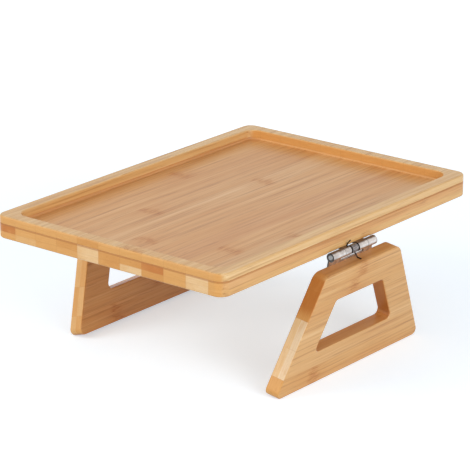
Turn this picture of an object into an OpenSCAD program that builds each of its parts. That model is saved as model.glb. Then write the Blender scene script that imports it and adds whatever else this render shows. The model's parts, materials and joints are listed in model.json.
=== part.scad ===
// Sofa arm tray. A bamboo tray lies across the arm of a sofa, and a leg hinged
// under each long side hangs down beside the arm. A coil spring in each hinge
// swings its leg in until it grips the arm, and both legs fold flat under the
// tray. The origin is the centre of the tray's flat underside, X runs across
// the sofa arm, Y along it and Z up. Sizes are in millimetres.

/* [Tray] */
// Length of the tray, along the sofa arm
tray_l = 350; // [300:1:420]
// Width of the tray, across the sofa arm
tray_w = 250; // [240:1:320]
// Thickness of one ply; the board has three
ply_t = 6.8; // [6.5:0.1:8]
// Width of the rim round the recess
rim_w = 12.5; // [10:0.5:20]
// Depth of the recess below the rim
recess_d = 9; // [8:0.5:10]
// Radius of the tray's corners, seen from above
corner_r = 10; // [6:1:20]
// Radius of the recess's corners, seen from above
recess_r = 12; // [6:1:20]
// Radius of the cove where the recess's wall meets its floor
cove_r = 2; // [1:0.1:2.2]
// Rounding of the tray's outer edges
edge_r = 1.8; // [1:0.1:2.5]
// Rounding of the rim's inner edge
rim_edge_r = 1.2; // [0.5:0.1:2]
// Rounding that leaves a shadow line under the top ply
groove_r = 0.5; // [0.2:0.1:1]

/* [Legs] */
// Height of a leg, from its top edge to its foot
leg_h = 100; // [90:1:105]
// Thickness of a leg; it has two plies
leg_t = 14; // [12:0.5:16]
// Length of a leg's top edge
leg_top_l = 106; // [100:1:140]
// Length of a leg's foot
leg_foot_l = 207; // [180:1:240]
// Radius of a leg's two top corners
leg_top_r = 10; // [8:1:20]
// Radius of a leg's two foot corners
leg_foot_r = 5; // [5:1:12]
// Rounding of a leg's edges
leg_edge_r = 1.2; // [0.6:0.1:1.6]
// Depth of the window's top edge below the leg's top edge
window_drop = 27; // [25:1:32]
// Height of the window
window_h = 43; // [30:1:46]
// Length of the window's top edge
window_top_l = 66.6; // [50:0.1:70]
// Length of the window's bottom edge
window_foot_l = 111; // [90:1:120]
// Radius of the window's corners
window_r = 4; // [3:0.5:6]
// How far each leg leans in from upright, right leg first
leg_lean = [8.5, 16.5];

/* [Hinges] */
// Length of a hinge
hinge_l = 62; // [56:1:70]
// How far a hinge sits off the middle of its leg, towards its spring's tray arm
hinge_shift = 3.6; // [0:0.1:5]
// Length of the leg's knuckle at that end of the hinge
near_knuckle_l = 17; // [12:0.5:17]
// Length of the leg's knuckle at the other end
far_knuckle_l = 12.4; // [12:0.1:17]
// Outer radius of the knuckles
barrel_r = 4; // [3.5:0.1:5]
// Thickness of a hinge leaf
leaf_t = 1.5; // [1.2:0.1:1.8]
// Width of a leaf's plate
leaf_w = 18; // [15:1:20]
// Distance from the tray's side out to the hinge pin
hinge_out = 2.7; // [2.5:0.1:4]
// Distance from the hinge pin down to the leg's top edge
leg_gap = 8.8; // [8:0.1:10]
// How far the leg's leaf stands above the leg's top edge
leaf_rise = 1.5; // [0.5:0.1:2]
// Gap between the two leaves when the leg is folded flat
fold_gap = 0.3; // [0.2:0.1:0.6]
// Distance between the screws of a leaf
screw_pitch = 22; // [18:1:24]

/* [Springs] */
// Diameter of the spring wire
wire_d = 1.1; // [0.9:0.05:1.1]
// Whole turns in the coil
coil_turns = 6; // [4:1:6]
// Length of the hinge kept free for the coil
coil_room = 11; // [11:0.5:14]
// Length of the arm that lies against the tray's side
tray_arm_l = 5.3; // [4:0.1:7]
// Length of that arm's tip, which flares off the wood
tray_tip_l = 4; // [2:0.5:6]
// Length of the foot that presses on the leg's top edge
leg_foot_arm_l = 4.2; // [3:0.1:6]

/* [Hidden] */
$fn = 64;
RIGHT = 0;
LEFT = 1;

bamboo = [0.87, 0.69, 0.46];
bamboo_dark = [0.80, 0.60, 0.38];
bamboo_leg = [0.85, 0.66, 0.42];
nickel = [0.66, 0.66, 0.67];
pin_grey = [0.50, 0.50, 0.52];
spring_black = [0.20, 0.20, 0.21];
screw_grey = [0.72, 0.72, 0.73];

tray_t = 3 * ply_t;
recess_floor = tray_t - recess_d;
over = 1;

// Both leaves are let in flush. The pin's centre sits one bore radius under the
// tray, so that the tray's leaf runs straight into the top of its knuckles.
bore_r = barrel_r - leaf_t;
hinge_x = tray_w / 2 + hinge_out;
hinge_drop = bore_r;
leg_in = fold_gap - hinge_drop;
leg_mid = leg_in + leg_t / 2;
leg_out = leg_in + leg_t;
leg_top = -leg_gap;

pin_play = 0.05;
pin_r = bore_r - pin_play;
pin_chamfer = 0.4;
knuckle_gap = 0.35;
near_joint = near_knuckle_l - hinge_l / 2;
far_joint = hinge_l / 2 - far_knuckle_l;
leg_knuckles = [[-hinge_l / 2, near_joint], [far_joint, hinge_l / 2]];
tray_knuckles = [
    [near_joint + knuckle_gap, -coil_room / 2 - knuckle_gap],
    [coil_room / 2 + knuckle_gap, far_joint - knuckle_gap]
];
leaf_corner_r = 3;
leaf_relief = barrel_r + 0.6;
seam_w = 0.3;
seam_start = 1;
mortise_fit = 0.05;
corner_facets = 48;
ease_steps = 3;
thin = 0.01;

screw_head_r = 3;
screw_root_r = 1.3;
screw_l = 8;
screw_tip_l = 2.2;
screw_point_r = 0.2;
screw_fit = 0.05;
screw_hole_l = screw_l + 0.2;
cross_l = 3.2;
cross_w = 0.7;
cross_d = 0.9;
screw_places = [-screw_pitch, 0, screw_pitch];

wire_r = wire_d / 2;
coil_play = 0.3;
coil_r = pin_r + coil_play + wire_r;
wire_sides = 6;
rings_a_turn = 8;
coil_end_gap = 0.2;
coil_half = coil_room / 2 - coil_end_gap - wire_r;
tray_arm_at = 159;
tray_tip_flare = 20;
leg_arm_at = 224;
leg_arm_slant = leg_arm_at - 180;
leg_arm_bend_r = 1.3;
leg_arm_gap = 0.1;

// Sets a hinge's own frame on one side of the tray: the pin lies along Y with
// its middle at the origin, and X points away from the tray.
module at_hinge(side) {
    rotate([0, 0, 180 * side])
        translate([hinge_x, -hinge_shift, -hinge_drop])
            children();
}

// Sets a leg's own frame: X runs along the pin from its middle, Y up the leg
// and Z out through its thickness. The leg's middle is at X = hinge_shift.
module at_leg(side) {
    at_hinge(side)
        rotate([0, leg_lean[side], 0])
            rotate([90, 0, 90])
                children();
}

// Outline of a plate's edge from its middle out to $reach, with its top and
// bottom corners rounded.
module edge_profile(z, h, top_r, bottom_r) {
    difference() {
        translate([0, z])
            square([$reach, h]);
        if (top_r > 0)
            translate([0, z + h])
                mirror([0, 1])
                    round_off(top_r);
        if (bottom_r > 0)
            translate([0, z])
                round_off(bottom_r);
    }
}

// Takes a profile's outer corner at height 0 back to a round of radius r.
module round_off(r) {
    difference() {
        translate([$reach - r, -over])
            square([r + over, r + over]);
        translate([$reach - r, r])
            circle(r);
    }
}

// Corner between a wall and a face, cut away so that a round edge is left.
module flare_profile(z, r) {
    difference() {
        translate([$reach - over / 2, z - r])
            square([r + over / 2, r + over]);
        translate([$reach + r, z - r])
            circle(r);
    }
}

// Carries a profile round a rectangle with round corners: a block over the
// full width, a strip at each end and a quarter turn in each corner.
module around(w, l, r) {
    rotate([90, 0, 0])
        linear_extrude(l - 2 * r, center = true)
            both_ways(w / 2)
                children();
    for (turn = [0, 180])
        rotate([0, 0, turn]) {
            translate([0, l / 2 - r, 0])
                rotate([90, 0, 90])
                    linear_extrude(w - 2 * r, center = true)
                        reaching(r)
                            children();
            for (side = [0, 1])
                translate([(1 - 2 * side) * (w / 2 - r), l / 2 - r, 0])
                    rotate([0, 0, 90 * side])
                        rotate_extrude(angle = 90)
                            reaching(r)
                                children();
        }
}

module reaching(reach) {
    $reach = reach;
    children();
}

module both_ways(reach) {
    for (flip = [0, 1])
        mirror([flip, 0])
            reaching(reach)
                children();
}

// A corner list holds [x, y, radius] anticlockwise.
function unit(v) = v / norm(v);
function flat(c) = [c[0], c[1]];
function inward(a, b) = let (e = unit(flat(b) - flat(a))) [-e[1], e[0]];
function next(c, i) = c[(i + 1) % len(c)];
function before(c, i) = c[(i + len(c) - 1) % len(c)];
function round_centre(c, i) =
    let (n1 = inward(before(c, i), c[i]), n2 = inward(c[i], next(c, i)))
    flat(c[i]) + c[i][2] * (n1 + n2) / (1 + n1 * n2);

// Stretches a plate over one turned piece at each corner of an outline.
module over_corners(corners) {
    hull()
        for (i = [0 : len(corners) - 1])
            translate(round_centre(corners, i))
                reaching(corners[i][2])
                    children();
}

module recess() {
    around(tray_w - 2 * rim_w, tray_l - 2 * rim_w, recess_r) {
        edge_profile(recess_floor, recess_d + over, 0, cove_r);
        flare_profile(tray_t, rim_edge_r);
    }
}

module screw_hole() {
    translate([0, 0, -over])
        cylinder(h = screw_hole_l + over, r = screw_root_r + screw_fit);
}

// Holes for the screws of both tray leaves, drilled up from the mortises.
module tray_screw_holes() {
    for (side = [RIGHT, LEFT], y = screw_places)
        at_hinge(side)
            translate([-leaf_relief - leaf_w / 2, y, bore_r + leaf_t])
                screw_hole();
}

// Shallow mortises in the underside, open at the tray's sides.
module tray_mortises() {
    for (side = [RIGHT, LEFT])
        at_hinge(side)
            translate([-leaf_relief, 0, bore_r - over])
                rotate([0, 0, -90])
                    linear_extrude(over + leaf_t)
                        leaf_outline(mortise_fit, leaf_relief);
}

module tray_top_ply() {
    color(bamboo)
        difference() {
            around(tray_w, tray_l, corner_r)
                edge_profile(2 * ply_t, ply_t, edge_r, groove_r);
            recess();
        }
}

module tray_core_ply() {
    color(bamboo_dark)
        difference() {
            around(tray_w, tray_l, corner_r)
                edge_profile(ply_t, ply_t, groove_r, 0);
            recess();
            tray_screw_holes();
        }
}

module tray_base_ply() {
    color(bamboo)
        difference() {
            around(tray_w, tray_l, corner_r)
                edge_profile(0, ply_t, 0, edge_r);
            tray_mortises();
            tray_screw_holes();
        }
}

leg_outline = [
    [hinge_shift - leg_foot_l / 2, leg_top - leg_h, leg_foot_r],
    [hinge_shift + leg_foot_l / 2, leg_top - leg_h, leg_foot_r],
    [hinge_shift + leg_top_l / 2, leg_top, leg_top_r],
    [hinge_shift - leg_top_l / 2, leg_top, leg_top_r]
];
window_top = leg_top - window_drop;
window_outline = [
    [hinge_shift - window_foot_l / 2, window_top - window_h, window_r],
    [hinge_shift + window_foot_l / 2, window_top - window_h, window_r],
    [hinge_shift + window_top_l / 2, window_top, window_r],
    [hinge_shift - window_top_l / 2, window_top, window_r]
];

// A leg's plate from z up, with round corners and eased edges.
module leg_blank(z, top_r, bottom_r) {
    over_corners(leg_outline)
        rotate_extrude($fn = corner_facets)
            edge_profile(z, leg_t / 2, top_r, bottom_r, $fn = corner_facets / 2);
}

// The window, cut through a leg.
module window() {
    over_corners(window_outline)
        translate([0, 0, leg_in - over])
            cylinder(h = leg_t + 2 * over, r = $reach, $fn = corner_facets);
}

// Eases the window's edge where it meets a face that looks along +Z.
module window_ease(face_z) {
    for (k = [1 : ease_steps])
        over_corners(window_outline)
            for (a = [90 * (k - 1) / ease_steps, 90 * k / ease_steps])
                translate([0, 0, face_z - leg_edge_r * (1 - sin(a))])
                    cylinder(
                        h = a == 90 ? over : thin,
                        r = $reach + leg_edge_r * (1 - cos(a)),
                        $fn = corner_facets
                    );
}

module leg_screw_holes() {
    for (x = screw_places)
        translate([x, leg_top - leaf_w / 2, leg_in + leaf_t])
            screw_hole();
}

module leg_outer_ply(side) {
    color(bamboo_leg)
        at_leg(side)
            difference() {
                leg_blank(leg_mid, leg_edge_r, 0);
                window();
                window_ease(leg_out);
                leg_screw_holes();
            }
}

module leg_inner_ply(side) {
    color(bamboo)
        at_leg(side)
            difference() {
                leg_blank(leg_in, 0, leg_edge_r);
                window();
                mirror([0, 0, 1])
                    window_ease(-leg_in);
                leg_screw_holes();
                translate([0, leg_top, leg_in - over])
                    linear_extrude(over + leaf_t)
                        leaf_outline(mortise_fit, over);
            }
}

// Plate of a leaf that hangs from Y = 0, with its straight edge at Y = rise.
module leaf_outline(grow, rise) {
    half = hinge_l / 2 + grow;
    low = -leaf_w - grow;
    translate([-half, low + leaf_corner_r])
        square([2 * half, leaf_w + grow - leaf_corner_r + rise]);
    translate([-half + leaf_corner_r, low])
        square([2 * (half - leaf_corner_r), leaf_corner_r + over]);
    for (x = [-1, 1])
        translate([x * (half - leaf_corner_r), low + leaf_corner_r])
            circle(leaf_corner_r);
}

// Countersunk hole through a leaf whose open face is at Z = 0.
module countersink() {
    translate([0, 0, -thin])
        cylinder(
            h = leaf_t + 2 * thin,
            r1 = screw_head_r + screw_fit,
            r2 = screw_head_r - leaf_t + screw_fit
        );
}

// A rolled knuckle along X, from the first end in its span to the second.
module knuckle(span) {
    translate([span[0], 0, 0])
        rotate([0, 90, 0])
            cylinder(h = span[1] - span[0], r = barrel_r);
}

module knuckle_bore() {
    rotate([0, 90, 0])
        cylinder(h = hinge_l + 2 * over, r = bore_r, center = true);
}

// Leaf let into the tray's underside. Its plate stops short of the barrel, and
// two necks run on from it into the knuckles beside the coil.
module tray_leaf(side) {
    color(nickel)
        at_hinge(side)
            rotate([0, 0, 90])
                difference() {
                    union() {
                        translate([0, leaf_relief, bore_r])
                            mirror([0, 1, 0])
                                linear_extrude(leaf_t)
                                    leaf_outline(0, 0);
                        for (span = tray_knuckles) {
                            translate([span[0], 0, bore_r])
                                cube([span[1] - span[0], leaf_relief + over, leaf_t]);
                            knuckle(span);
                        }
                    }
                    knuckle_bore();
                    translate([-hinge_l / 2, seam_start, bore_r - seam_w])
                        cube([hinge_l, barrel_r, seam_w]);
                    for (x = screw_places)
                        translate([x, leaf_relief + leaf_w / 2, bore_r])
                            countersink();
                }
}

// Leaf let into the leg's inner face, with its knuckles at the hinge's ends.
module leg_leaf(side) {
    color(nickel)
        at_leg(side)
            difference() {
                union() {
                    translate([0, leg_top, leg_in])
                        linear_extrude(leaf_t)
                            leaf_outline(0, leaf_rise);
                    for (span = leg_knuckles) {
                        translate([span[0], leg_top - over, leg_in])
                            cube([span[1] - span[0], leg_gap + over - bore_r, leaf_t]);
                        knuckle(span);
                    }
                }
                knuckle_bore();
                translate([-hinge_l / 2, -barrel_r - over / 2, leg_in + leaf_t])
                    cube([hinge_l, barrel_r - bore_r + over, seam_w]);
                for (x = screw_places)
                    translate([x, leg_top - leaf_w / 2, leg_in])
                        countersink();
            }
}

module hinge_pin(side) {
    color(pin_grey)
        at_hinge(side)
            rotate([90, 0, 0]) {
                cylinder(h = hinge_l - 2 * pin_chamfer, r = pin_r, center = true);
                for (end = [0, 1])
                    mirror([0, 0, end])
                        translate([0, 0, hinge_l / 2 - pin_chamfer])
                            cylinder(h = pin_chamfer, r1 = pin_r, r2 = pin_r - pin_chamfer);
            }
}

// A countersunk wood screw that points along +Z from its head's face at Z = 0.
module screw() {
    difference() {
        union() {
            cylinder(h = leaf_t, r1 = screw_head_r, r2 = screw_head_r - leaf_t);
            cylinder(h = leaf_t + screw_l - screw_tip_l, r = screw_root_r);
            translate([0, 0, leaf_t + screw_l - screw_tip_l])
                cylinder(h = screw_tip_l, r1 = screw_root_r, r2 = screw_point_r);
        }
        for (turn = [0, 90])
            rotate([0, 0, turn])
                translate([-cross_l / 2, -cross_w / 2, -over])
                    cube([cross_l, cross_w, cross_d + over]);
    }
}

module tray_leaf_screws(side) {
    color(screw_grey)
        at_hinge(side)
            for (y = screw_places)
                translate([-leaf_relief - leaf_w / 2, y, bore_r])
                    screw();
}

module leg_leaf_screws(side) {
    color(screw_grey)
        at_leg(side)
            for (x = screw_places)
                translate([x, leg_top - leaf_w / 2, leg_in])
                    screw();
}

// Torsion spring. Seen along the pin, one arm leaves the coil upwards between
// the barrel and the tray's side, and the other leaves it downwards to a foot
// on the leg's top edge. Angles are round the pin from the outward direction.
function on_circle(a, r) = [r * cos(a), r * sin(a)];
function coil_sweep(side) = 360 * coil_turns + leg_arm_at - leg_lean[side] - tray_arm_at;
function coil_steps(side) = ceil(coil_sweep(side) / 360 * rings_a_turn);
function lift(p, y) = [p[0], y, p[1]];
function coil_path(side) = [
    for (i = [0 : coil_steps(side)])
        let (t = i / coil_steps(side), a = tray_arm_at + t * coil_sweep(side))
        lift(on_circle(a, coil_r), coil_half * (2 * t - 1))
];
function tray_arm_path() =
    let (
        root = on_circle(tray_arm_at, coil_r),
        knee = root + on_circle(tray_arm_at - 90, tray_arm_l),
        tip = knee + on_circle(tray_arm_at - 90 - tray_tip_flare, tray_tip_l)
    )
    [for (p = [tip, knee]) lift(p, -coil_half)];
function leg_arm_path(side) =
    let (
        lean = leg_lean[side],
        root = on_circle(leg_arm_at - lean, coil_r),
        out = 360 - lean,
        drop = leg_gap - wire_r - leg_arm_gap - coil_r * cos(90 - leg_arm_slant),
        knee = root + on_circle(leg_arm_at - lean + 90, drop / cos(leg_arm_slant)),
        bend = leg_arm_bend_r * tan((90 - leg_arm_slant) / 2),
        tip = knee + on_circle(out, leg_foot_arm_l)
    )
    [
        for (p = [
            knee - on_circle(leg_arm_at - lean + 90, bend),
            knee + (on_circle(out, bend) - on_circle(leg_arm_at - lean + 90, bend)) / 4,
            knee + on_circle(out, bend),
            tip
        ])
            lift(p, coil_half)
    ];
function spring_path(side) = concat(tray_arm_path(), coil_path(side), leg_arm_path(side));

function heading(path, i) = unit(path[min(i + 1, len(path) - 1)] - path[max(i - 1, 0)]);
function wire_ring(path, i) =
    let (
        t = heading(path, i),
        u = unit(cross([0, 1, 0], t)),
        v = cross(t, u)
    )
    [
        for (k = [0 : wire_sides - 1])
            path[i] + wire_r * (cos(360 * k / wire_sides) * u + sin(360 * k / wire_sides) * v)
    ];

module wire(path) {
    n = len(path);
    s = wire_sides;
    points = [for (i = [0 : n - 1]) each wire_ring(path, i)];
    skin = [
        for (i = [0 : n - 2], k = [0 : s - 1])
            let (a = i * s + k, b = i * s + (k + 1) % s)
            each [[a, a + s, b + s], [a, b + s, b]]
    ];
    ends = [
        for (k = [1 : s - 2])
            each [[0, k, k + 1], [(n - 1) * s, (n - 1) * s + k + 1, (n - 1) * s + k]]
    ];
    polyhedron(points, concat(skin, ends));
}

// Least clear distance between parts of a wire that are half a turn apart.
function wire_gap(path) = min([
    for (i = [0 : len(path) - 1], j = [0 : len(path) - 1])
        if (j - i >= rings_a_turn / 2) norm(path[i] - path[j])
]) - wire_d;

module hinge_spring(side) {
    path = spring_path(side);
    echo(spring_side = side, least_gap_mm = wire_gap(path));
    color(spring_black)
        at_hinge(side)
            wire(path);
}

tray_top_ply();
tray_core_ply();
tray_base_ply();
leg_outer_ply(RIGHT);  // right_leg_outer_ply
leg_inner_ply(RIGHT);  // right_leg_inner_ply
tray_leaf(RIGHT);  // right_tray_leaf
leg_leaf(RIGHT);  // right_leg_leaf
hinge_pin(RIGHT);  // right_hinge_pin
hinge_spring(RIGHT);  // right_hinge_spring
tray_leaf_screws(RIGHT);  // right_tray_leaf_screws
leg_leaf_screws(RIGHT);  // right_leg_leaf_screws
leg_outer_ply(LEFT);  // left_leg_outer_ply
leg_inner_ply(LEFT);  // left_leg_inner_ply
tray_leaf(LEFT);  // left_tray_leaf
leg_leaf(LEFT);  // left_leg_leaf
hinge_pin(LEFT);  // left_hinge_pin
hinge_spring(LEFT);  // left_hinge_spring
tray_leaf_screws(LEFT);  // left_tray_leaf_screws
leg_leaf_screws(LEFT);  // left_leg_leaf_screws
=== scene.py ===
# %% [markdown]
# # A bamboo tray for a sofa arm
# The real tray is a bamboo board of three plies with a shallow recess milled into it. A leg of two
# plies hangs under each long side on a steel spring hinge. The construction comes ready made as a
# fixed frame, so every ply, leaf, pin and screw already has its true shape and place. This notebook
# gives each of them its finish, and bends the two springs again as smooth round wire.

# %% Load the frame
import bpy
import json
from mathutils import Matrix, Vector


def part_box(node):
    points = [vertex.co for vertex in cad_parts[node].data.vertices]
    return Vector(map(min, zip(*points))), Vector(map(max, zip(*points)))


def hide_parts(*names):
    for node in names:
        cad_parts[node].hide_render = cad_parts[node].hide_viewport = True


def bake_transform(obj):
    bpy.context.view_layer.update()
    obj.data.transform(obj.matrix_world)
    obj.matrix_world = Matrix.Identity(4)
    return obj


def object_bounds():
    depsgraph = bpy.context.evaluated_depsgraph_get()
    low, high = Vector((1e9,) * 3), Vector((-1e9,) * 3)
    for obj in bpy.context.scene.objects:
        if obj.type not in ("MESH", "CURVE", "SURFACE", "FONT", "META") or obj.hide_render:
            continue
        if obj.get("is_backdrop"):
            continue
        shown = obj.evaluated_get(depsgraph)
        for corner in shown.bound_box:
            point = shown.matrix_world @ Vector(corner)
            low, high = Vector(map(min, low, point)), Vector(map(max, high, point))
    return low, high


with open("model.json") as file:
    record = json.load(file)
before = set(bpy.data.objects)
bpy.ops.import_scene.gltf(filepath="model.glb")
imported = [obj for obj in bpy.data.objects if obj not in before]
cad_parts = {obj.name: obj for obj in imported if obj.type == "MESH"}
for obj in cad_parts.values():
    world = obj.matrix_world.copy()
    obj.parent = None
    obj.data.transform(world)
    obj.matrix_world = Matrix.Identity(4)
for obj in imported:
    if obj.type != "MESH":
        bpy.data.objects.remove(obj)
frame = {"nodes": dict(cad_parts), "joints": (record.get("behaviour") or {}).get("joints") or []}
cad_box = [list(corner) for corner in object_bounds()]

import json
from math import ceil, cos, pi, radians, sin, tan
from types import SimpleNamespace

import bmesh
import bpy
from mathutils import Color, Matrix, Vector

MM = 0.001


def in_mm(place):
    """A place or a size in millimetres, rounded for printing."""
    return [round(value / MM, 1) for value in place]


print("box in mm:", [in_mm(corner) for corner in cad_box])

# %% [markdown]
# ## The camera
# A product picture like this is taken from a few metres away with a long lens, so that the tray's
# long edges stay nearly parallel. The camera could be aimed with a constraint, but two angles and a
# place say the same and can be read at a glance: it looks down by `CAMERA_DOWN`, turned left of the
# Y axis by `CAMERA_TURN`.

# %% Place the camera
SENSOR = 36.0
LENS = 198.3
CAMERA_TURN = radians(38.649)
CAMERA_DOWN = radians(18.871)
CAMERA_AT = (1.3448, -1.6847, 0.7182)

camera = bpy.data.objects.new("camera", bpy.data.cameras.new("camera"))
bpy.context.scene.collection.objects.link(camera)
camera.data.sensor_width = SENSOR
camera.data.lens = LENS
camera.location = CAMERA_AT
camera.rotation_euler = (pi / 2 - CAMERA_DOWN, 0, CAMERA_TURN)
bpy.context.scene.camera = camera
gaze = camera.rotation_euler.to_matrix() @ Vector((0, 0, -1))
print("camera looks along", [round(value, 3) for value in gaze])

# %% [markdown]
# ## Writing materials as sums
# A procedural material is a net of small nodes. Drawn by hand it soon becomes a web, so here two
# small classes let the net be written as arithmetic. `Wire` stands for an output socket, so
# `1 - mask` or `a * 0.3 + b` adds the Math nodes by itself. `Paint` holds the net of one material
# and adds any other node: its type, its settings, and then the values or links of its sockets.
# Colours go through Mix nodes, because a Math node would turn them grey.

# %% A value on its way through a net
class Wire:
    """The output of a node. Arithmetic with it adds Math nodes."""

    def __init__(self, paint, socket):
        self.paint = paint
        self.socket = socket

    def math(self, operation, *others):
        """A Math node's result, for what has no sign of its own."""
        inputs = dict(enumerate((self, *others)))
        return self.paint.node("Math", {"operation": operation}, inputs)

    def __add__(self, other):
        return self.math("ADD", other)

    def __sub__(self, other):
        return self.math("SUBTRACT", other)

    def __rsub__(self, other):
        return self.paint.node("Math", {"operation": "SUBTRACT"}, {0: other, 1: self})

    def __mul__(self, other):
        return self.math("MULTIPLY", other)

    def __truediv__(self, other):
        return self.math("DIVIDE", other)

    def __abs__(self):
        return self.math("ABSOLUTE")

    __radd__ = __add__
    __rmul__ = __mul__

    def axis(self, letter):
        """One coordinate of a place or a direction."""
        return self.paint.node("SeparateXYZ", None, {"Vector": self}, out=letter)

    def step(self, low, high, top=1.0):
        """0 at low, top at high, and a smooth rise between them."""
        settings = {"interpolation_type": "SMOOTHSTEP"}
        inputs = {"Value": self, "From Min": low, "From Max": high, "To Max": top}
        return self.paint.node("MapRange", settings, inputs)


print("a wire can:", [name.strip("_") for name in vars(Wire) if callable(getattr(Wire, name))])

# %% The net that values run through
FACTOR = 0
COLOUR_A, COLOUR_B, MIXED_COLOUR = 6, 7, 2
SHADER_A, SHADER_B = 1, 2
PICTURE_RAYS = ("Is Camera Ray", "Is Glossy Ray", "Is Transmission Ray")


class Paint:
    """The node net of a material, or of the world."""

    def __init__(self, owner):
        self.owner = owner
        self.owner.use_nodes = True
        self.net = owner.node_tree
        self.net.nodes.clear()

    def node(self, kind, settings=None, inputs=None, out=0):
        """Adds a node by its type, its settings, and the values or links of its sockets."""
        made = self.net.nodes.new("ShaderNode" + kind)
        for name, value in (settings or {}).items():
            if name == "stops":
                self.set_stops(made.color_ramp, value)
            else:
                setattr(made, name, value)
        for socket, value in (inputs or {}).items():
            if isinstance(value, Wire):
                self.net.links.new(value.socket, made.inputs[socket])
            else:
                made.inputs[socket].default_value = value
        return Wire(self, made.outputs[out]) if made.outputs else None

    @staticmethod
    def set_stops(ramp, stops):
        """Gives a ramp its stops, and steps between them without a blend."""
        ramp.interpolation = "CONSTANT"
        while len(ramp.elements) < len(stops):
            ramp.elements.new(1.0)
        for element, (position, colour) in zip(ramp.elements, stops):
            element.position = position
            element.color = colour

    def mix(self, factor, a, b, blend="MIX"):
        """Colour a where factor is 0 and colour b where it is 1."""
        settings = {"data_type": "RGBA", "blend_type": blend}
        inputs = {FACTOR: factor, COLOUR_A: a, COLOUR_B: b}
        return self.node("Mix", settings, inputs, out=MIXED_COLOUR)

    def tint(self, factor, base, shade):
        """Colour base, multiplied by a shade as far as factor says."""
        return self.mix(factor, base, shade, "MULTIPLY")

    def noise(self, place, detail, roughness=0.5, scale=1.0):
        """Soft spots, about one unit of place wide where scale is 1."""
        inputs = {"Vector": place, "Scale": scale, "Detail": detail, "Roughness": roughness}
        return self.node("TexNoise", None, inputs)

    def place(self):
        """A point's place in its piece, in metres."""
        return self.node("TexCoord", out="Object")

    def point(self, x, y, z):
        return self.node("CombineXYZ", None, {"X": x, "Y": y, "Z": z})

    def watched(self):
        """1 for what the camera, a mirror or glass sees, and 0 for light on its way elsewhere."""
        camera, glossy, through = [self.node("LightPath", out=ray) for ray in PICTURE_RAYS]
        return camera.math("MAXIMUM", glossy).math("MAXIMUM", through)

    def share(self, factor, a, b):
        """Shader a where factor is 0 and shader b where it is 1."""
        return self.node("MixShader", None, {FACTOR: factor, SHADER_A: a, SHADER_B: b})

    def end(self, shader, kind="OutputMaterial"):
        """Leads a shader to the net's end and returns what the net belongs to."""
        self.node(kind, None, {"Surface": shader})
        return self.owner

    def principled(self, inputs):
        """Ends the net in Blender's general surface shader."""
        return self.end(self.node("BsdfPrincipled", None, inputs))


def new_paint(name):
    """An empty material under a name."""
    return Paint(bpy.data.materials.new(name))


print("a paint can:", [name for name in vars(Paint) if not name.startswith("_")])

# %% Colours as a screen shows them
def seen(red, green, blue):
    """A colour as a screen shows it, 0 to 255, turned into the linear light that nodes use."""
    shown = Color((red / 255, green / 255, blue / 255))
    return (*shown.from_srgb_to_scene_linear(), 1.0)


print("a screen's mid grey is", round(seen(128, 128, 128)[0], 3), "in linear light")

# %% [markdown]
# ## Bamboo strips
# Bamboo board is glued from long strips about 23 mm wide. Every strip has its own tone, fine fibres
# that run its whole length, and here and there a brown mark where the cane had a joint. On the short
# ends the same strips show as blocks. A flat picture of wood would need unwrapping and would not
# meet at the edges, so the pattern is solid instead: it is a function of the place inside the board,
# and every face, end and milled wall is a cut through it.

# %% The bamboo's colours
WHITE = seen(236, 204, 162)
PALE = seen(233, 192, 138)
CREAM = seen(226, 174, 108)
HONEY = seen(221, 161, 88)
AMBER = seen(212, 148, 74)
TOAST = seen(196, 119, 48)
TONES = {"w": WHITE, "p": PALE, "c": CREAM, "h": HONEY, "a": AMBER, "t": TOAST}
DEEPER = (0.92, 0.80, 0.63, 1)
LIGHTER = (1.16, 1.36, 1.75, 1)
FIBRE = (0.55, 0.36, 0.20, 1)
print("strip tones:", ", ".join(TONES))

# %% Where a point lies in a board
STRIP_W = 23.5
STRIP_SEED = 37.0
PLY_SEED = 11.0


class Board:
    """A point in a board in millimetres: across its strips, along its fibres and through it."""

    def __init__(self, paint, strips_from, ply, leg=None):
        """leg is the place and lean of a leg's board, whose strips lie along the foot.

        strip counts the strips, inside runs from 0 to 1 across one, edge is the way to its nearer
        edge in millimetres, and apart keeps strips and plies from having the same pattern.
        """
        origin, lean = leg or ((0, 0, 0), 0.0)
        turned = paint.node("Mapping", {"vector_type": "TEXTURE"}, {
            "Vector": paint.place(), "Location": origin, "Rotation": (0, lean, 0),
            "Scale": (MM, MM, MM),
        })
        x, y, z = [turned.axis(letter) for letter in "XYZ"]
        self.paint = paint
        self.across, self.along, self.deep = (z, y, x) if leg else (x, y, z)
        counted = (self.across - strips_from) / STRIP_W
        self.strip = counted.math("FLOOR")
        self.inside = counted - self.strip
        self.edge = self.inside.math("MINIMUM", 1 - self.inside) * STRIP_W
        self.apart = self.strip * STRIP_SEED + ply * PLY_SEED

    def streaks(self, width, length, detail, roughness, shift=0.0):
        """Noise drawn out along the fibres, with spots of a width and length."""
        across = self.across / width + self.apart
        place = self.paint.point(across, self.along / length, self.deep / width + shift)
        return self.paint.noise(place, detail, roughness)

    def layers(self, width, thickness, detail, roughness):
        """Noise for the cut ends, which doesn't change along the fibres."""
        across = self.across / width + self.apart
        place = self.paint.point(across, self.apart, self.deep / thickness)
        return self.paint.noise(place, detail, roughness)


tray_low, tray_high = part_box("tray_core_ply")
print("strips across the tray:", ceil((tray_high[0] - tray_low[0]) / MM / STRIP_W))

# %% Which way a surface looks
CUT_ACROSS = (0.55, 0.85)


def facing(paint, letter, low, high, top=1.0):
    """top where the surface looks along an axis, either way, and 0 where it looks aside."""
    normal = paint.node("TexCoord", out="Normal")
    return abs(normal.axis(letter)).step(low, high, top)


def cut_across(paint):
    """1 on the faces that cut through the fibres, 0 on those that run with them."""
    return facing(paint, "Y", *CUT_ACROSS)


print("a face is an end once its normal's share along the fibres passes", CUT_ACROSS[0])

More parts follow.
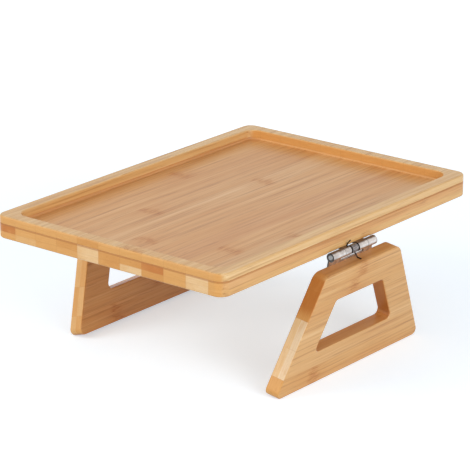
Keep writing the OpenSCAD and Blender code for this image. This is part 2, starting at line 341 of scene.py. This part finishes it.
# %% A value for each strip
JOINT_REACH = 250


def pick(board, choices):
    """The choice that belongs to a point's strip, from a ramp with one hard step a strip."""
    count = len(choices)
    stops = [(number / count, choice) for number, choice in enumerate(choices)]
    return board.paint.node("ValToRGB", {"stops": stops}, {0: (board.strip + 0.5) / count})


def pick_length(board, lengths):
    """The same for lengths in millimetres, each from -JOINT_REACH to JOINT_REACH."""
    greys = [((length / JOINT_REACH + 1) / 2,) * 3 + (1.0,) for length in lengths]
    return (pick(board, greys) * 2 - 1) * JOINT_REACH


print("a joint can lie up to", JOINT_REACH, "mm from the middle")

# %% [markdown]
# ## Fibres
# Close up, bamboo is all fibres: fine brown threads in paler wood. On the long faces they are
# streaks, and on the cut ends they are thin layers, denser towards the cane's skin. One noise with
# many octaves would look like smoke, so each kind of streak gets a noise of its own, stretched to
# its width and length. Each one multiplies the wood's colour by a shade, so that a pale ply stays
# pale and a dark one stays dark.
#
# The tables say it in numbers. A noise has its width and length in millimetres, its detail and its
# roughness. A tint starts and ends at two levels of its noise, and a third number is its strength.

# %% Fibres that show on the long faces
STREAKS = {
    "broad": (7, 260, 2.0, 0.5),
    "middling": (2.4, 130, 3.0, 0.6),
    "fine": (0.8, 60, 2.0, 0.6),
    "dashes": (1.2, 30, 2.0, 0.5, 40),
}
STREAK_TINTS = (
    ("broad", (0.45, 0.75, 0.50), DEEPER),
    ("broad", (0.52, 0.28, 0.40), LIGHTER),
    ("middling", (0.50, 0.72, 0.48), FIBRE),
    ("middling", (0.48, 0.30, 0.40), LIGHTER),
    ("fine", (0.54, 0.72, 0.38), FIBRE),
    ("dashes", (0.64, 0.74, 0.40), FIBRE),
)


def tinted(paint, base, noises, tints):
    """A colour, multiplied by each tint's shade where its noise says so."""
    for name, rise, shade in tints:
        base = paint.tint(noises[name].step(*rise), base, shade)
    return base


def long_fibres(board, base):
    """The colour with its streaks, and the height of the fibres."""
    noises = {name: board.streaks(*kind) for name, kind in STREAKS.items()}
    height = (noises["middling"] + noises["fine"]) * 0.5
    return tinted(board.paint, base, noises, STREAK_TINTS), height


print("streaks, width by length in mm:", {name: kind[:2] for name, kind in STREAKS.items()})

# %% Fibres that show on the short ends
LAYERS = {
    "clouds": (13, 5, 2.0, 0.5),
    "skin": (16, 0.9, 3.0, 0.6),
    "pores": (0.9, 2.2, 2.0, 0.5),
}
LAYER_TINTS = (
    ("skin", (0.50, 0.72, 0.50), DEEPER),
    ("skin", (0.50, 0.30, 0.32), LIGHTER),
    ("pores", (0.55, 0.78, 0.25), FIBRE),
)
CLOUDY = (0.50, 0.70, 0.30)


def cut_fibres(board, base):
    """The colour of an end with its clouds, layers and pores."""
    noises = {name: board.layers(*kind) for name, kind in LAYERS.items()}
    base = board.paint.mix(noises["clouds"].step(*CLOUDY), base, HONEY)
    return tinted(board.paint, base, noises, LAYER_TINTS)


print("layers, width by thickness in mm:", {name: kind[:2] for name, kind in LAYERS.items()})

# %% [markdown]
# ## Joint marks
# A bamboo cane has a joint every few hands. When it is planed, the joint stays as a soft brown band
# across the strip, with short streaks and pale flecks in it. It could be painted on by hand, but a
# distance does it too: how far a point is from its strip's joint, made ragged with noise, gives a
# halo and a band, and two noises break the band up.

# %% The mark where the cane had a joint
JOINT = (0.70, 0.45, 0.24, 1)
MARK_STREAKS = {
    "ragged": (3, 12, 3.0, 0.6),
    "mottle": (0.8, 9, 2.0, 0.6),
    "flecks": (0.5, 7, 2.0, 0.6),
}
RAGGED = 24
MARK_HALO = (34, 4, 0.40)
MARK_BAND = (10.0, 0.0)
MARK_DARK = (0.30, 0.70, 0.80)
MARK_FLECKS = (0.54, 0.72, 0.50)


def joint_mark(board, base, offset):
    """The colour with each strip's mark, and where the mark is. offset is the way to the joint."""
    paint = board.paint
    noises = {name: board.streaks(*kind) for name, kind in MARK_STREAKS.items()}
    away = abs(offset + (noises["ragged"] - 0.5) * RAGGED)
    band = away.step(*MARK_BAND)
    base = paint.tint(away.step(*MARK_HALO), base, DEEPER)
    base = paint.tint(band * noises["mottle"].step(*MARK_DARK), base, JOINT)
    return paint.tint(band * noises["flecks"].step(*MARK_FLECKS), base, LIGHTER), band


print("a joint mark is about", 2 * MARK_BAND[0], "mm long")

# %% [markdown]
# ## The legs' painted shade and specks
# A leg is sawn from its board. Its sawn sides are painted browner than its faces, as painted shade,
# and on the top edge this painted shade gives way towards the outside. Along the sole runs a dark
# line of painted shade, with a few scorched specks. All of these are masks by place: how far from
# the sole, how deep in the board, and which way the surface looks.

# %% Painted shade on the sides, the top edge and along the sole
PAINTED_SIDE_SHADE = 0.60
FACES = (0.40, 0.80)
TOP_EDGE = (-16, -12)
TOP_EDGE_LIT_OUTWARDS = (4.5, 11.0, 0.75)
SOLE = -108.8
SHADE_ALONG_SOLE = (SOLE + 2.2, SOLE + 0.6, 0.40)
SCORCH = seen(70, 42, 22)
SCORCHED_UNTIL = (SOLE + 1.8, SOLE + 0.9, 0.80)
SCORCHED_BESIDE = (16, 8)
SPECK_W = 4
SPECK_L = 2.2
SPECKS = (0.62, 0.68)


def leg_marks(board, base, ends, offset):
    """The colour of a leg with painted shade on its sides and sole, and specks. ends is 1 on the outer
    ends, which keep their tone.
    """
    paint = board.paint
    side = 1 - facing(paint, "X", *FACES)
    lit_top_edge = board.across.step(*TOP_EDGE) * abs(board.deep).step(*TOP_EDGE_LIT_OUTWARDS)
    # Painted shade: the sides turn toast brown, less so on the outer part of the top edge.
    base = paint.mix(side * (1 - ends) * (1 - lit_top_edge) * PAINTED_SIDE_SHADE, base, TOAST)
    # Painted shade: a dark line along the sole.
    base = paint.mix(board.across.step(*SHADE_ALONG_SOLE), base, TOAST)
    speck_place = paint.point(board.along / SPECK_L, board.across / SPECK_W, 0)
    specks = paint.noise(speck_place, 1.0).step(*SPECKS)
    near = abs(offset).step(*SCORCHED_BESIDE) * board.across.step(*SCORCHED_UNTIL)
    return paint.mix(near * specks, base, SCORCH)


print("the sole lies", -SOLE, "mm below the hinge pin")

# %% [markdown]
# ## Seams
# Where two plies meet, the edge of the tray shows a thin brown line of glue and painted shadow. It
# could be a groove, but it is finer than any chamfer, so it is a colour: a line at a level of the
# board. The recess was milled and sanded after gluing, so its walls show the line only faintly.

# %% Glue and painted shadow between the plies
SEAM = seen(176, 112, 52)
RIM_SEAM = SimpleNamespace(top=13.6, width=1.4, strength=0.64)
BASE_SEAM = SimpleNamespace(top=6.8, width=0.6, strength=0.15)
SEAM_FULL = 0.65
SEAM_CORE = 0.35
OUTSIDE_ALONG = (166, 168)
OUTSIDE_ACROSS = (116, 118)
IN_RECESS = 0.25


def glue_and_shadow_lines(board, base, seams):
    """The colour with a line of glue and painted shadow under each seam's top."""
    at_end = abs(board.along).step(*OUTSIDE_ALONG)
    at_side = abs(board.across).step(*OUTSIDE_ACROSS)
    shown = at_end.math("MAXIMUM", at_side) * (1 - IN_RECESS) + IN_RECESS
    for seam in seams:
        away = abs(board.deep - (seam.top - seam.width / 2))
        line = away.step(seam.width * SEAM_FULL, seam.width * SEAM_CORE, seam.strength)
        base = board.paint.mix(line * shown, base, SEAM)
    return base


print("seams at", RIM_SEAM.top, "and", BASE_SEAM.top, "mm above the underside")

# %% [markdown]
# ## A whole board
# Now the steps are put in order: the strip's tone, calmed by the cane's overall colour, then
# fibres, joint marks, the cut ends, the painted shade on the legs' sides, and the glue lines with
# their painted shadow. Over it lies a thin satin lacquer, a clear coat that is a little thicker on
# what faces up, where it could pool as it dried. The fibres also give a slight bump, since lacquer
# this thin doesn't fill them.
#
# The tray and the legs are cut from different stock. Walls milled inside the tray are honey. On the
# legs the inner ends, the window walls and the upper part of the slanted ends, are toast brown as
# painted shade. Each stock says where its strips start, how much the cane calms their tones, and
# where its inner walls give way to its outer ends.

# %% What the boards are cut from
TRAY_STOCK = SimpleNamespace(strips_from=-125.0, calm=0.80, wall=HONEY, wall_until=(166, 170))
# The legs' toast wall colour is painted shade on their inner ends.
LEG_STOCK = SimpleNamespace(strips_from=-115.4, calm=0.92, wall=TOAST, wall_until=(53, 64))
TRAY_FADE = 0.22
LEG_FADE = (-60, -50, 0.75)
FADE_ENDS = 0.50
DRIFT_W = 120
DRIFT_L = 160
DRIFT = (0.40, 0.70, 0.35)
STRIP_EDGE = (0.40, 0.10)
EDGE_SHADE = 0.24
END_EDGE_SHADE = 0.16


def strip_tone(board, tones, ends, leg):
    """Each strip's tone. On the ends it starts as honey and is its own by the strip's middle.

    On a leg only the upper strips do so, which are the dark ones.
    """
    tone = pick(board, [TONES[letter] for letter in tones])
    fade = board.across.step(*LEG_FADE) if leg else TRAY_FADE
    return board.paint.mix(board.inside.step(FADE_ENDS, 0.0) * ends * fade, tone, HONEY)


def strip_edges(board, base, ends):
    """The colour with a hair of shade where two strips meet, weaker on the ends."""
    shade = EDGE_SHADE + ends * (END_EDGE_SHADE - EDGE_SHADE)
    return board.paint.tint(board.edge.step(*STRIP_EDGE) * shade, base, FIBRE)


print("strips start at", TRAY_STOCK.strips_from, "in the tray and", LEG_STOCK.strips_from, "in a leg")

# %% The bamboo itself
LACQUER = 0.10
POOLED = 0.05
FACING_UP = (0.60, 0.90)
LACQUER_ROUGHNESS = 0.20
SATIN = 0.34
ROUGHER_FIBRES = 0.12
ROUGHER_JOINTS = 0.08
ROUGHER_ENDS = 0.12
FIBRE_BUMP = {"Strength": 0.12, "Distance": 0.3 * MM}
WOOD_GLOSS = 0.40


def bamboo(name, tones, joints, ply, cane, seams=(), leg=None):
    """A lacquered board of a cane's colour.

    tones and joints give each strip its tone and the place of its joint, ply seeds the pattern,
    and leg is the place and lean of a leg's board.
    """
    stock = LEG_STOCK if leg else TRAY_STOCK
    paint = new_paint(name)
    board = Board(paint, stock.strips_from, ply, leg)
    ends = cut_across(paint)
    outer = abs(board.along).step(*stock.wall_until)

    tone = strip_tone(board, tones, ends, leg)
    base = paint.mix(stock.calm, tone, cane)
    drift = paint.noise(paint.point(board.across / DRIFT_W, board.along / DRIFT_L, ply), 1.0)
    base = paint.tint(drift.step(*DRIFT), base, DEEPER)
    base, height = long_fibres(board, base)
    offset = board.along - pick_length(board, joints)
    base, band = joint_mark(board, base, offset)
    # Ends take the stock's wall colour inside and their strip's tone outside; on the legs that wall
    # colour is painted shade.
    base = paint.mix(ends, base, cut_fibres(board, paint.mix(outer, stock.wall, tone)))
    base = strip_edges(board, base, ends)
    if leg:
        base = leg_marks(board, base, ends * outer, offset)
    if seams:
        base = glue_and_shadow_lines(board, base, seams)

    rougher = height * ROUGHER_FIBRES + band * ROUGHER_JOINTS + ends * ROUGHER_ENDS
    return paint.principled({
        "Base Color": base,
        "Roughness": SATIN + rougher,
        "Normal": paint.node("Bump", None, {**FIBRE_BUMP, "Height": height}),
        "Coat Weight": LACQUER if leg else LACQUER + facing(paint, "Z", *FACING_UP, POOLED),
        "Coat Roughness": LACQUER_ROUGHNESS,
        "Specular IOR Level": WOOD_GLOSS,
    })


print("lacquer weight", LACQUER, "on the legs and up to", round(LACQUER + POOLED, 2), "on the tray")

# %% [markdown]
# ## Dressing the plies
# Each ply is a separate board, so each gets its own material with its own strips. The milled floor
# shows the middle ply, the rim the top ply. The legs lean in, and their strips lie along the foot,
# so their pattern is turned with them about the hinge pin. Each strip has a letter for its tone and
# a number for the place of its joint in millimetres. A strip with no joint mark has its joint at
# `NONE`, which is past the end of every board.

# %% Finish for the tray's plies
NONE = 240
TOP_CANE = seen(222, 182, 124)
CORE_CANE = seen(212, 158, 98)
BASE_CANE = seen(222, 178, 116)
TOP_JOINTS = (NONE, 140, NONE, -150, NONE, 120, -172, 60, -190, NONE, NONE)
CORE_JOINTS = (NONE, 30, NONE, -66, 62, -127, NONE, NONE, -102, -40, NONE)
BASE_JOINTS = (60, -140, NONE, 120, -80, NONE, NONE, -30, 100, NONE, 20)


def dress(node, material):
    """Gives a piece of the frame its material."""
    mesh = frame["nodes"][node].data
    mesh.materials.clear()
    mesh.materials.append(material)


TRAY_PLIES = {
    "top_ply": ("hhhhahhhhhh", TOP_JOINTS, 3, TOP_CANE, [RIM_SEAM]),
    "core_ply": ("thhapaathph", CORE_JOINTS, 2, CORE_CANE, [RIM_SEAM, BASE_SEAM]),
    "base_ply": ("hchhpapahph", BASE_JOINTS, 1, BASE_CANE, [BASE_SEAM]),
}
for name, (tones, joints, ply, cane, seams) in TRAY_PLIES.items():
    dress("tray_" + name, bamboo("bamboo_" + name, tones, joints, ply, cane, seams))
print("dressed the tray's", ", ".join(TRAY_PLIES))

# %% Finish for the legs' plies
LEG_CANE = seen(217, 166, 102)
# The far leg's inner ply gets a darker cane as painted shade.
CANE_IN_PAINTED_SHADE = seen(200, 138, 76)
LEG_PLIES = {
    "right_leg_outer_ply": ("hwwtt", (-49, NONE, NONE, -7, 4), 5, LEG_CANE),
    "right_leg_inner_ply": ("hpptt", (40, NONE, NONE, 60, NONE), 6, LEG_CANE),
    "left_leg_outer_ply": ("chchh", (70, NONE, NONE, -20, NONE), 9, LEG_CANE),
    "left_leg_inner_ply": ("hchhh", (-56, 5, NONE, 30, NONE), 10, CANE_IN_PAINTED_SHADE),
}
LEANS = {"right_leg": radians(8.5), "left_leg": radians(16.5)}
TURNS = {"right_leg": LEANS["right_leg"], "left_leg": -LEANS["left_leg"]}
pins = {joint["child"]: Vector(joint["pos_m"]) for joint in frame["joints"]}

for node, (tones, joints, ply, cane) in LEG_PLIES.items():
    body = "right_leg" if node.startswith("right") else "left_leg"
    leg = (tuple(pins[body]), TURNS[body])
    dress(node, bamboo("bamboo_" + node, tones, joints, ply, cane, leg=leg))
print("dressed", ", ".join(LEG_PLIES))

# %% [markdown]
# ## Steel
# The hinge leaves are rolled from strip steel and plated with nickel, then tumbled, so they are
# bright but not mirror-like. Their faces across the hinge, the knuckle ends, are painted dark as the
# shadow in the gaps, and everything a few millimetres above the pin is painted brown as shade and a
# reflection of the wood above. The pin is plain drawn steel and the screws are zinc plated. All
# three are the same idea: a metal whose roughness and tone wander a little, with faint lines along
# the way that it was rolled or drawn.

# %% Metal finishes
KNUCKLE_END_SHADE = seen(44, 42, 40)
KNUCKLE_END_SHADING = 0.9
BARREL_TOP_SHADE = seen(84, 58, 38)
SHADED_ABOVE_PIN = (3.2, 4.3, 0.85)
CLOUD_SIZE = 5 * MM
METAL_NOISE = (3.0, 0.6)
GRAIN_SCALE = 3.0
CLOUD_DULLS = (0.35, 0.65, 0.7)
GRAIN_DULLS = (0.4, 0.7, 0.3)
CLOUD_ROUGHENS = 0.12
GRAIN_ROUGHENS = 0.06
GRAIN_BUMP = {"Strength": 0.15, "Distance": 0.05 * MM}


def steel(name, bright, dull, roughness, lines, pin=None):
    """Metal between two tones.

    lines stretches its grain along the hinge, and pin is the hinge pin's place for a rolled leaf,
    which then gets painted shade on its knuckle ends and brown painted shade over the barrel's top.
    """
    paint = new_paint(name)
    place = paint.place()
    grain_scale = (1 / MM, 1 / MM / lines, 1 / MM)
    cloud_scale = (1 / CLOUD_SIZE, 1 / CLOUD_SIZE, 1 / CLOUD_SIZE)
    grain_place = paint.node("Mapping", None, {"Vector": place, "Scale": grain_scale})
    cloud_place = paint.node("Mapping", None, {"Vector": place, "Scale": cloud_scale})
    grain = paint.noise(grain_place, *METAL_NOISE, scale=GRAIN_SCALE)
    cloud = paint.noise(cloud_place, *METAL_NOISE)
    tone = paint.mix(cloud.step(*CLOUD_DULLS) + grain.step(*GRAIN_DULLS), bright, dull)
    if pin:
        above = (place.axis("Z") - pin.z) / MM
        # Painted shade and reflection of the wood above: brown over the barrel's top.
        tone = paint.mix((above + cloud).step(*SHADED_ABOVE_PIN), tone, BARREL_TOP_SHADE)
        # Painted shadow of the gaps: dark on the faces across the hinge.
        tone = paint.mix(cut_across(paint) * KNUCKLE_END_SHADING, tone, KNUCKLE_END_SHADE)
    return paint.principled({
        "Base Color": tone,
        "Metallic": 1.0,
        "Roughness": roughness + cloud * CLOUD_ROUGHENS + grain * GRAIN_ROUGHENS,
        "Normal": paint.node("Bump", None, {**GRAIN_BUMP, "Height": grain}),
    })


nickel = steel(
    "nickel_plate", seen(224, 216, 210), seen(178, 168, 162), roughness=0.24, lines=8,
    pin=pins["right_leg"],
)
drawn = steel("drawn_steel", seen(178, 180, 180), seen(140, 142, 142), roughness=0.34, lines=12)
zinc = steel("zinc_plate", seen(214, 214, 218), seen(172, 176, 184), roughness=0.24, lines=1)
for side in ("right", "left"):
    dress(side + "_tray_leaf", nickel)
    dress(side + "_leg_leaf", nickel)
    dress(side + "_hinge_pin", drawn)
    dress(side + "_tray_leaf_screws", zinc)
    dress(side + "_leg_leaf_screws", zinc)
print("metals:", nickel.name, drawn.name, zinc.name)

# %% [markdown]
# ## The springs
# Each hinge holds a torsion spring of dark wire. Its coil sits round the pin between the knuckles,
# one arm stands up against the tray's side, and the other is bent to a foot on the leg's top edge.
# A curve with a round bevel could make it, but then the bends would have to be drawn by hand. A
# coiling machine feeds wire straight or turns it round an axis, and bmesh can do just that to a
# ring of points: extrude it, or spin it.

# %% A wire bender
def only(kind, parts):
    """The vertices or the edges among some parts of a mesh."""
    return [part for part in parts if isinstance(part, kind)]


class WireBender:
    """Bends a round wire in the plane across the pin. Angles run from outward to upward."""

    def __init__(self, start, heading, pin_place, radius, sides=14):
        self.mesh = bmesh.new()
        self.at = Vector((start.x, pin_place, start.y))
        self.heading = heading
        aimed = self.direction().to_track_quat("Z", "Y").to_matrix().to_4x4()
        place = Matrix.Translation(self.at) @ aimed
        bmesh.ops.create_circle(self.mesh, segments=sides, radius=radius, matrix=place)
        self.ring = self.mesh.verts[:] + self.mesh.edges[:]

    def direction(self, turn=0.0):
        """Where the wire is heading, or a direction turned left from there."""
        return Vector((cos(self.heading + turn), 0, sin(self.heading + turn)))

    def straight(self, length):
        """Feeds the wire straight on."""
        rim = only(bmesh.types.BMEdge, self.ring)
        made = bmesh.ops.extrude_edge_only(self.mesh, edges=rim)["geom"]
        verts = only(bmesh.types.BMVert, made)
        edges = only(bmesh.types.BMEdge, made)
        self.ring = verts + [edge for edge in edges if all(vert in verts for vert in edge.verts)]
        feed = self.direction() * length
        bmesh.ops.translate(self.mesh, verts=verts, vec=feed)
        self.at += feed

    def turn(self, radius, angle, steps, climb=0.0):
        """Spins the ring about an axis along the pin, which lies on the wire's left."""
        centre = self.at + self.direction(pi / 2) * radius
        made = bmesh.ops.spin(
            self.mesh, geom=self.ring, cent=centre, axis=(0, -1, 0), angle=angle, steps=steps,
            dvec=(0, climb / steps, 0), use_merge=False, use_duplicate=False,
        )
        self.ring = made["geom_last"]
        self.heading += angle
        self.at = centre - self.direction(pi / 2) * radius + Vector((0, climb, 0))

    def cut(self, name, place, bevel):
        """Caps both ends, breaks their sharp rims and returns the finished wire."""
        rims = [edge for edge in self.mesh.edges if edge.is_boundary]
        bmesh.ops.holes_fill(self.mesh, edges=rims, sides=0)
        bmesh.ops.recalc_face_normals(self.mesh, faces=self.mesh.faces)
        bmesh.ops.bevel(
            self.mesh, geom=rims, offset=bevel, offset_type="OFFSET", segments=2, profile=0.5,
            affect="EDGES", material=-1,
        )
        self.mesh.transform(place)
        for face in self.mesh.faces:
            face.smooth = len(face.verts) == 4
        made = bpy.data.meshes.new(name)
        self.mesh.to_mesh(made)
        self.mesh.free()
        piece = bpy.data.objects.new(name, made)
        bpy.context.scene.collection.objects.link(piece)
        return piece


print("the bender can:", [name for name in vars(WireBender) if not name.startswith("_")])

# %% Sizes of the springs
WIRE_R = 0.55 * MM
WIRE_BEVEL = 0.12 * MM
COIL_R = 3.3 * MM
COIL_HALF = 4.75 * MM
COIL_TURNS = 6
STEPS_A_TURN = 28
TRAY_ARM_AT = radians(159)
TRAY_ARM_L = 5.3 * MM
TRAY_TIP_L = 4.0 * MM
TRAY_TIP_FLARE = radians(20)
TIP_BEND_R = 1.6 * MM
TIP_BEND_STEPS = 5
LEG_ARM_AT = radians(224)
LEG_ARM_SLANT = LEG_ARM_AT - pi
LEG_GAP = 8.8 * MM
LEG_ARM_GAP = 0.1 * MM
FOOT_L = 4.2 * MM
FOOT_BEND_R = 0.9 * MM
FOOT_BEND_STEPS = 8

SWEEPS = {
    side: 2 * pi * COIL_TURNS + LEG_ARM_AT - LEANS[side + "_leg"] - TRAY_ARM_AT
    for side in ("right", "left")
}
print("wire in each coil, mm:", {side: round(sweep * COIL_R / MM, 1) for side, sweep in SWEEPS.items()})

# %% Bend a spring
def on_circle(angle, radius):
    """A point at an angle and a distance from the pin, as outward and up."""
    return Vector((cos(angle), sin(angle))) * radius


def bend_spring(side):
    """One hinge's spring, from the tip of the tray's arm to the tip of the foot."""
    up = TRAY_ARM_AT - pi / 2
    root = on_circle(TRAY_ARM_AT, COIL_R)
    tip = root + on_circle(up, TRAY_ARM_L) + on_circle(up - TRAY_TIP_FLARE, TRAY_TIP_L)
    tip_bend = TIP_BEND_R * tan(TRAY_TIP_FLARE / 2)
    foot_turn = pi / 2 - LEG_ARM_SLANT
    foot_bend = FOOT_BEND_R * tan(foot_turn / 2)
    drop = LEG_GAP - WIRE_R - LEG_ARM_GAP - COIL_R * sin(LEG_ARM_SLANT)
    coil_steps = round(STEPS_A_TURN * SWEEPS[side] / (2 * pi))

    wire = WireBender(tip, up - TRAY_TIP_FLARE + pi, -COIL_HALF, WIRE_R)
    wire.straight(TRAY_TIP_L - tip_bend)
    wire.turn(TIP_BEND_R, TRAY_TIP_FLARE, TIP_BEND_STEPS)
    wire.straight(TRAY_ARM_L - tip_bend)
    wire.turn(COIL_R, SWEEPS[side], coil_steps, climb=2 * COIL_HALF)
    wire.straight(drop / cos(LEG_ARM_SLANT) - foot_bend)
    wire.turn(FOOT_BEND_R, foot_turn, FOOT_BEND_STEPS)
    wire.straight(FOOT_L - foot_bend)

    half_turn = Matrix.Rotation(0 if side == "right" else pi, 4, "Z")
    place = Matrix.Translation(pins[side + "_leg"]) @ half_turn
    return wire.cut(side + "_spring_wire", place, WIRE_BEVEL)


springs = {side: bend_spring(side) for side in SWEEPS}
print("bent:", [spring.name for spring in springs.values()])

# %% [markdown]
# ## Dark stretches of wire
# Spring wire is drawn hard and left grey. Here the arms are dark, and the turn beside the tray's arm
# is dark as painted shade from the gap beside the knuckle, while the turns between stay grey. Two
# materials could share the wire, but the dark fades along it, so one material finds the dark
# stretches by place: how far along the pin, and how far below it.

# %% The wire's finish, in place of the frame's spring
GREY_WIRE = seen(158, 152, 150)
DULL_WIRE = seen(116, 108, 106)
DARK_WIRE = seen(34, 26, 20)
WIRE_DULLS = (0.35, 0.7)
WIRE_ROUGHNESS = 0.28
WIRE_ROUGHENS = 0.15
DARKENED = 0.94
FIRST_TURN = (-3.2, -4.0)
BELOW_COIL = (-3.4, -4.2)
WIRE_GRAIN = 0.9 / MM
OUTWARDS = {"right": 1, "left": -1}


def spring_steel(side):
    """Grey wire, dark on its arms, with painted shade on the turn next to the tray's arm."""
    paint = new_paint(side + "_spring_wire")
    pin = pins[side + "_leg"]
    place = paint.place()
    along = (place.axis("Y") - pin.y) / (MM * OUTWARDS[side])
    up = (place.axis("Z") - pin.z) / MM
    cloud = paint.noise(place, *METAL_NOISE, scale=WIRE_GRAIN)
    tone = paint.mix(cloud.step(*WIRE_DULLS), GREY_WIRE, DULL_WIRE)
    # Dark arms, and painted shade on the turn beside the tray's arm.
    darkened = along.step(*FIRST_TURN).math("MAXIMUM", up.step(*BELOW_COIL)) * DARKENED
    tone = paint.mix(darkened, tone, DARK_WIRE)
    roughness = WIRE_ROUGHNESS + cloud * WIRE_ROUGHENS
    return paint.principled({"Base Color": tone, "Metallic": 1.0, "Roughness": roughness})


for side, spring in springs.items():
    spring.data.materials.append(spring_steel(side))
    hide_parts(side + "_hinge_spring")
    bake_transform(spring)
    spots = [vert.co for vert in spring.data.vertices]
    size = [max(spot[axis] for spot in spots) - min(spot[axis] for spot in spots) for axis in range(3)]
    print(spring.name, "faces", len(spring.data.polygons), "mm", in_mm(size))

# %% [markdown]
# ## The floor
# The background is plain white paper. Both feet touch it, and because one leg leans in more than
# the other, the sheet is tipped by a fraction of a degree to meet them both. White paper under soft
# light comes out grey, and more light would bleach the wood. So the paper is partly its own light,
# for the camera and for mirrors alone. Near the tray the glow is weak, which lets the soft shadow
# show, and further out it grows until the paper is plain white. It is slightly cool, against the
# warm light that the wood throws on it.

# %% Lay the floor
FLOOR_SIDE = 8.0


def lowest(node):
    """The lowest point of a node's mesh."""
    return min((vert.co for vert in frame["nodes"][node].data.vertices), key=lambda spot: spot.z)


def lay_floor():
    """A sheet of paper under both feet."""
    right = lowest("right_leg_outer_ply")
    left = lowest("left_leg_outer_ply")
    slope = (right.z - left.z) / (right.x - left.x)
    sheet = bmesh.new()
    bmesh.ops.create_grid(sheet, x_segments=1, y_segments=1, size=FLOOR_SIDE / 2)
    for vert in sheet.verts:
        vert.co.z = right.z + (vert.co.x - right.x) * slope
    mesh = bpy.data.meshes.new("floor")
    sheet.to_mesh(mesh)
    sheet.free()
    floor = bpy.data.objects.new("floor", mesh)
    bpy.context.scene.collection.objects.link(floor)
    floor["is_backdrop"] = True
    print("floor at", round(right.z / MM, 2), "mm, sloping", round(slope / MM, 2), "mm a metre")
    return floor


floor = lay_floor()

# %% White paper
PAPER = (0.80, 0.87, 0.94, 1)
COOL_WHITE = (0.94, 1.0, 1.06, 1)
GLOW = 4.6
GLOW_NEAR = 0.105
GLOW_FAR = 0.19
TRAY_SHADE = 0.40
CLEAR_OF_TRAY = 0.95


def paper():
    """White paper that glows a little where it is watched, and more beyond the tray's shadow."""
    paint = new_paint("paper")
    place = paint.place()
    x, y = [place.axis(letter) for letter in "XY"]
    from_tray = (x * x + y * y).math("SQRT")
    glow_share = from_tray.step(TRAY_SHADE, CLEAR_OF_TRAY, GLOW_FAR - GLOW_NEAR) + GLOW_NEAR
    dull = paint.node("BsdfDiffuse", None, {"Color": PAPER})
    glow = paint.node("Emission", None, {"Color": COOL_WHITE, "Strength": GLOW})
    return paint.end(paint.share(paint.watched() * glow_share, dull, glow))


floor.data.materials.append(paper())
print("the glow grows from", TRAY_SHADE, "to", CLEAR_OF_TRAY, "m from the middle")

# %% [markdown]
# ## Light
# A light tent: white all round, a large soft lamp high on the left that gives the shadows their
# direction, and one on the right that keeps the near leg from going dark. The camera and mirrors
# see the tent as plain white, although it lights the tray with half of that.

# %% Light the set
WHITE_LIGHT = (1, 1, 1, 1)
TENT = 0.50
LAMP_SIDE = 1.3
LAMPS = {"key_lamp": ((-1.3, -1.7, 1.2), 23), "fill_lamp": ((2.2, -0.7, 0.8), 28)}


def light_tent():
    """White surroundings, dimmer as a light than they look."""
    bpy.context.scene.world = bpy.data.worlds.new("tent")
    paint = Paint(bpy.context.scene.world)
    tent = paint.node("Background", None, {"Color": WHITE_LIGHT, "Strength": TENT})
    white = paint.node("Background", None, {"Color": WHITE_LIGHT, "Strength": 1.0})
    paint.end(paint.share(paint.watched(), tent, white), "OutputWorld")


def soft_lamp(name, place, power):
    """A square lamp that looks at the tray."""
    lamp = bpy.data.objects.new(name, bpy.data.lights.new(name, "AREA"))
    bpy.context.scene.collection.objects.link(lamp)
    lamp.data.size = LAMP_SIDE
    lamp.data.energy = power
    lamp.location = place
    lamp.rotation_euler = Vector(place).to_track_quat("Z", "Y").to_euler()


light_tent()
for name, (place, power) in LAMPS.items():
    soft_lamp(name, place, power)
print("lamps, watts:", {name: power for name, (place, power) in LAMPS.items()})

# %% [markdown]
# ## The last settings
# The Standard view shows each colour as it was written, where Blender's usual view would soften the
# bright ones. The size of the finished model is then printed, to set beside the frame's size printed
# at the start.

# %% Colours as they are
bpy.context.scene.view_settings.view_transform = "Standard"
visual_box = [list(corner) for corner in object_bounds()]
print("visual box in mm:", [in_mm(corner) for corner in visual_box])
